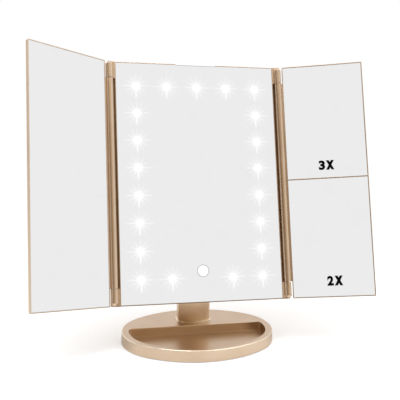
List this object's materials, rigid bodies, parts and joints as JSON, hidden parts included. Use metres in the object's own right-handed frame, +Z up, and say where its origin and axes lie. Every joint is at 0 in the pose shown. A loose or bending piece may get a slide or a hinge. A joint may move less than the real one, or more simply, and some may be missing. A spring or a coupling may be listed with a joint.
{
  "type": "trifold vanity mirror",
  "caption": "Trifold tabletop vanity mirror with folding side mirrors, light ring in the centre glass, tilting head and an oval base with a sunk cosmetics tray.",
  "frame": {"origin": "centre of the base's underside, on the surface it stands on", "axes": "+Z up, -Y towards the user in front of the mirrors, +X to the right of someone looking at the mirrors"},
  "size_m": [0.3323, 0.1299, 0.2922],
  "materials": {
    "gold_plastic": "satin champagne-gold metallic paint on moulded plastic",
    "mirror_glass": "polished silvered glass",
    "black_plastic": "fine matt moulded",
    "zinc_steel": "zinc plated",
    "screw_steel": "nickel plated",
    "pad_rubber": "matt foam rubber",
    "nylon": "natural nylon",
    "friction_washer": "matt fibre",
    "foam_tape": "matt foam",
    "diffuser": "frosted film",
    "circuit_board": "white solder mask",
    "light_chip": "phosphor",
    "spring_copper": "bright",
    "contact_nickel": "nickel plated",
    "cell_can": "plain dark wrapper"
  },
  "bodies": {
    "base": {"base_tray_cover": "gold_plastic", "base_bottom_plate": "black_plastic", "base_weight": "zinc_steel", "base_screws": "screw_steel", "non_slip_pad": "pad_rubber"},
    "stem": {"stem_front_shell": "gold_plastic", "stem_rear_shell": "gold_plastic", "stem_screws": "screw_steel", "tilt_bushes": "nylon", "tilt_washers": "friction_washer"},
    "head": {"centre_frame": "gold_plastic", "centre_mirror": "mirror_glass", "centre_tape": "foam_tape", "light_film": "diffuser", "light_board": "circuit_board", "light_board_screws": "screw_steel", "light_chips": "light_chip", "touch_spring": "spring_copper", "centre_rear_cover": "gold_plastic", "rear_screws": "screw_steel", "battery_cells": "cell_can", "battery_contacts": "contact_nickel", "control_board": "circuit_board", "control_board_screws": "screw_steel", "charging_inlet": "contact_nickel", "switch_body": "black_plastic", "tilt_axle": "zinc_steel", "tilt_nut": "zinc_steel", "pivot_caps": "gold_plastic", "left_hinge_pins": "zinc_steel", "right_hinge_pins": "zinc_steel"},
    "left_wing": {"left_wing_shell": "gold_plastic", "left_wing_mirror": "mirror_glass", "left_wing_tape": "foam_tape", "left_hinge_bushes": "nylon"},
    "right_wing": {"right_wing_shell": "gold_plastic", "right_mirror_3x": "mirror_glass", "right_mirror_2x": "mirror_glass", "right_wing_tape": "foam_tape", "right_hinge_bushes": "nylon"},
    "battery_door": {"battery_door": "gold_plastic"},
    "switch_knob": {"switch_knob": "black_plastic"}
  },
  "joints": [
    {"name": "stem_lift", "type": "slide", "parent": "base", "child": "stem", "axis": [0, 0, 1], "range_m": [0, 0.0106]},
    {"name": "head_tilt", "type": "hinge", "parent": "stem", "child": "head", "pos_m": [0, 0.0122, 0.0748], "axis": [-1, 0, 0], "range_deg": [-30, 75]},
    {"name": "left_wing_hinge", "type": "hinge", "parent": "head", "child": "left_wing", "pos_m": [-0.087, 0.00554, 0.16426], "axis": [0, 0.2807, 0.9598], "range_deg": [-32.5, 147.5]},
    {"name": "right_wing_hinge", "type": "hinge", "parent": "head", "child": "right_wing", "pos_m": [0.087, 0.00554, 0.16426], "axis": [0, -0.2807, -0.9598], "range_deg": [-18.7, 161.3]},
    {"name": "battery_door_slide", "type": "slide", "parent": "head", "child": "battery_door", "axis": [0, 0.2807, 0.9598], "range_m": [0, 0.057]},
    {"name": "switch_slide", "type": "slide", "parent": "head", "child": "switch_knob", "axis": [1, 0, 0], "range_m": [0, 0.003]}
  ]
}
